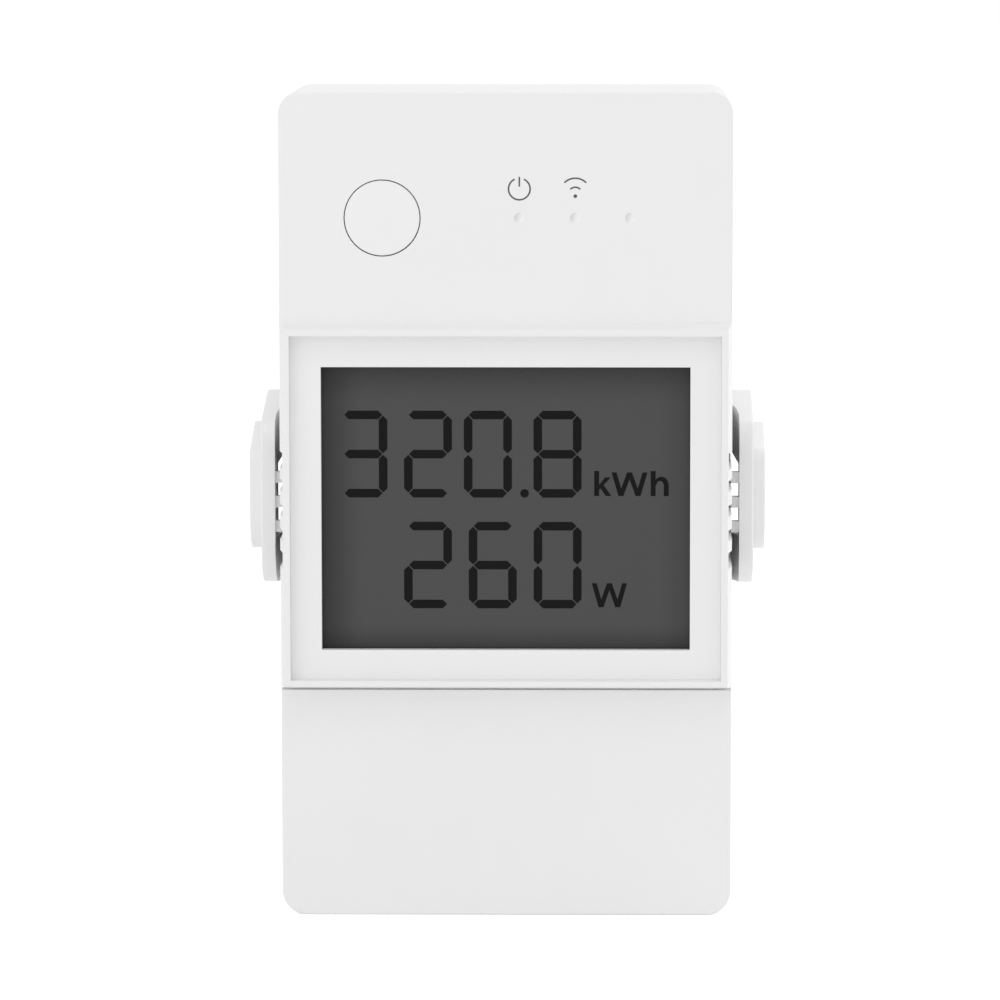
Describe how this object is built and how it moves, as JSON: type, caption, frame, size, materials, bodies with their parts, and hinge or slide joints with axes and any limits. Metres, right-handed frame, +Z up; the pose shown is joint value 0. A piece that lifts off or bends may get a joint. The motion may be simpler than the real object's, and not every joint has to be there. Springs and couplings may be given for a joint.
{
  "type": "smart energy monitor",
  "caption": "Wall-mounted mains meter and switch: white case with a raised segment display, round button, status lights, side vent hoods and a pull-off cover over its wiring terminals.",
  "frame": {"origin": "centre of the flat back face, which lies on the wall", "axes": "+Y into the wall, so the display looks along -Y; +Z up along the case; +X to the viewer's right"},
  "size_m": [0.0618, 0.031, 0.098],
  "materials": {
    "case_plastic": "fine matt",
    "bezel_plastic": "fine matt",
    "button_plastic": "fine matt",
    "clear_plastic": "clear",
    "display_film": "satin",
    "display_glass": "clear",
    "reflector_film": "satin",
    "light_box": "satin",
    "board": "solder mask",
    "radio_board": "solder mask",
    "gold_contact": "plated",
    "spring_steel": "bright",
    "screw_steel": "zinc plated",
    "shield_metal": "tin plated",
    "copper": "bare",
    "winding": "enamelled",
    "core_iron": "ferrite",
    "black_plastic": "moulded",
    "relay_plastic": "moulded",
    "bobbin_tape": "wound tape",
    "capacitor_can": "sleeved can",
    "film_box": "cast box",
    "varistor_coat": "dipped",
    "fuse_plastic": "moulded",
    "shunt_metal": "bright",
    "terminal_plastic": "moulded",
    "release_plastic": "moulded",
    "light_chip": "cast",
    "switch_plastic": "moulded"
  },
  "bodies": {
    "case": {"rear_housing": "case_plastic", "front_housing": "case_plastic", "left_vent_hood": "case_plastic", "right_vent_hood": "case_plastic", "display_bezel": "bezel_plastic", "display_polarizer": "display_film", "display_glass": "display_glass", "display_reflector": "reflector_film", "display_backlight": "light_box", "display_contacts": "gold_contact", "display_board": "board", "switch_body": "switch_plastic", "light_guide": "clear_plastic", "status_lights": "light_chip", "controller_chip": "black_plastic", "radio_module": "radio_board", "radio_can": "shield_metal", "header_strips": "black_plastic", "header_pins": "gold_contact", "main_board": "board", "relay_base": "relay_plastic", "relay_case": "relay_plastic", "relay_yoke": "spring_steel", "relay_coil": "winding", "transformer_core": "core_iron", "transformer_bobbin": "bobbin_tape", "bulk_capacitors": "capacitor_can", "film_capacitor": "film_box", "varistor": "varistor_coat", "fuse": "fuse_plastic", "current_shunt": "shunt_metal", "metering_chip": "black_plastic", "terminal_housing": "terminal_plastic", "terminal_clamps": "spring_steel", "housing_screws": "screw_steel", "display_board_screws": "screw_steel", "main_board_screws": "screw_steel"},
    "power_button": {"button_cap": "button_plastic", "switch_plunger": "black_plastic"},
    "relay_armature": {"relay_armature": "spring_steel"},
    "terminal_cover": {"terminal_cover": "case_plastic"},
    "terminal_button_1": {"terminal_button_1": "release_plastic"},
    "terminal_button_2": {"terminal_button_2": "release_plastic"},
    "terminal_button_3": {"terminal_button_3": "release_plastic"},
    "terminal_button_4": {"terminal_button_4": "release_plastic"}
  },
  "joints": [
    {"name": "button_press", "type": "slide", "parent": "case", "child": "power_button", "axis": [0, 1, 0], "range_m": [0, 0.0003], "stiffness_N_per_m": 5000, "springref_m": -0.00005},
    {"name": "armature_tilt", "type": "hinge", "parent": "case", "child": "relay_armature", "pos_m": [-0.0095, -0.01672, -0.0051], "axis": [1, 0, 0], "range_deg": [0, 3.5], "stiffness_Nm_per_rad": 0.02, "springref_deg": -5.73},
    {"name": "cover_lift", "type": "slide", "parent": "case", "child": "terminal_cover", "axis": [0, -1, 0], "range_m": [0, 0.025]},
    {"name": "terminal_press_1", "type": "slide", "parent": "case", "child": "terminal_button_1", "axis": [0, 1, 0], "range_m": [0, 0.0018], "stiffness_N_per_m": 2000, "springref_m": -0.0005},
    {"name": "terminal_press_2", "type": "slide", "parent": "case", "child": "terminal_button_2", "axis": [0, 1, 0], "range_m": [0, 0.0018], "stiffness_N_per_m": 2000, "springref_m": -0.0005},
    {"name": "terminal_press_3", "type": "slide", "parent": "case", "child": "terminal_button_3", "axis": [0, 1, 0], "range_m": [0, 0.0018], "stiffness_N_per_m": 2000, "springref_m": -0.0005},
    {"name": "terminal_press_4", "type": "slide", "parent": "case", "child": "terminal_button_4", "axis": [0, 1, 0], "range_m": [0, 0.0018], "stiffness_N_per_m": 2000, "springref_m": -0.0005}
  ]
}
